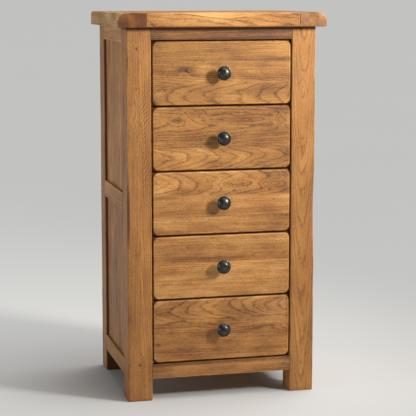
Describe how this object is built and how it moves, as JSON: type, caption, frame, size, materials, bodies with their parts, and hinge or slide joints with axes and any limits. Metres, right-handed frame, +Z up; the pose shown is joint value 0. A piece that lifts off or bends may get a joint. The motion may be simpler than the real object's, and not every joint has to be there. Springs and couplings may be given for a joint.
{
  "type": "tall chest of drawers",
  "caption": "Narrow tall chest of inset drawers in solid rustic oak, frame-and-panel sides, thick overhanging top, round metal knobs.",
  "frame": {"origin": "on the floor, under the middle of the whole chest with its knobs", "axes": "+Z up, +X to the right seen from the front, and the front faces -Y"},
  "size_m": [0.6, 0.46, 1.1],
  "materials": {
    "oak_front": "honey oak, satin lacquer, grain across",
    "oak_frame": "honey oak, satin lacquer, grain along each piece",
    "oak_top": "honey oak, satin lacquer",
    "oak_panel": "honey oak, satin lacquer, upright grain",
    "oak_drawer_box": "plain sanded oak, sealed",
    "oak_inside": "plain oak, unfinished",
    "knob_metal": "dark pewter, polished on the dome",
    "screw_steel": "zinc-plated steel"
  },
  "bodies": {
    "carcass": {"back_boards": "oak_panel", "drawer_runners": "oak_inside", "front_bottom_rail": "oak_frame", "front_left_leg": "oak_frame", "front_right_leg": "oak_frame", "front_top_rail": "oak_frame", "left_bottom_rail": "oak_frame", "left_lower_panel": "oak_panel", "left_mid_rail": "oak_frame", "left_top_rail": "oak_frame", "left_upper_panel": "oak_panel", "rear_bottom_rail": "oak_frame", "rear_left_leg": "oak_frame", "rear_right_leg": "oak_frame", "rear_top_rail": "oak_frame", "right_bottom_rail": "oak_frame", "right_lower_panel": "oak_panel", "right_mid_rail": "oak_frame", "right_top_rail": "oak_frame", "right_upper_panel": "oak_panel", "runner_screws": "screw_steel", "top_blocks": "oak_inside", "top_field": "oak_top", "top_left_end": "oak_top", "top_right_end": "oak_top"},
    "drawer_1": {"drawer_1_back": "oak_drawer_box", "drawer_1_bottom": "oak_drawer_box", "drawer_1_front": "oak_front", "drawer_1_knob": "knob_metal", "drawer_1_knob_screw": "screw_steel", "drawer_1_left_side": "oak_drawer_box", "drawer_1_right_side": "oak_drawer_box"},
    "drawer_2": {"drawer_2_back": "oak_drawer_box", "drawer_2_bottom": "oak_drawer_box", "drawer_2_front": "oak_front", "drawer_2_knob": "knob_metal", "drawer_2_knob_screw": "screw_steel", "drawer_2_left_side": "oak_drawer_box", "drawer_2_right_side": "oak_drawer_box"},
    "drawer_3": {"drawer_3_back": "oak_drawer_box", "drawer_3_bottom": "oak_drawer_box", "drawer_3_front": "oak_front", "drawer_3_knob": "knob_metal", "drawer_3_knob_screw": "screw_steel", "drawer_3_left_side": "oak_drawer_box", "drawer_3_right_side": "oak_drawer_box"},
    "drawer_4": {"drawer_4_back": "oak_drawer_box", "drawer_4_bottom": "oak_drawer_box", "drawer_4_front": "oak_front", "drawer_4_knob": "knob_metal", "drawer_4_knob_screw": "screw_steel", "drawer_4_left_side": "oak_drawer_box", "drawer_4_right_side": "oak_drawer_box"},
    "drawer_5": {"drawer_5_back": "oak_drawer_box", "drawer_5_bottom": "oak_drawer_box", "drawer_5_front": "oak_front", "drawer_5_knob": "knob_metal", "drawer_5_knob_screw": "screw_steel", "drawer_5_left_side": "oak_drawer_box", "drawer_5_right_side": "oak_drawer_box"}
  },
  "joints": [
    {"name": "drawer_1_slide", "type": "slide", "parent": "carcass", "child": "drawer_1", "axis": [0, -1, 0], "range_m": [0, 0.28]},
    {"name": "drawer_2_slide", "type": "slide", "parent": "carcass", "child": "drawer_2", "axis": [0, -1, 0], "range_m": [0, 0.28]},
    {"name": "drawer_3_slide", "type": "slide", "parent": "carcass", "child": "drawer_3", "axis": [0, -1, 0], "range_m": [0, 0.28]},
    {"name": "drawer_4_slide", "type": "slide", "parent": "carcass", "child": "drawer_4", "axis": [0, -1, 0], "range_m": [0, 0.28]},
    {"name": "drawer_5_slide", "type": "slide", "parent": "carcass", "child": "drawer_5", "axis": [0, -1, 0], "range_m": [0, 0.28]}
  ]
}
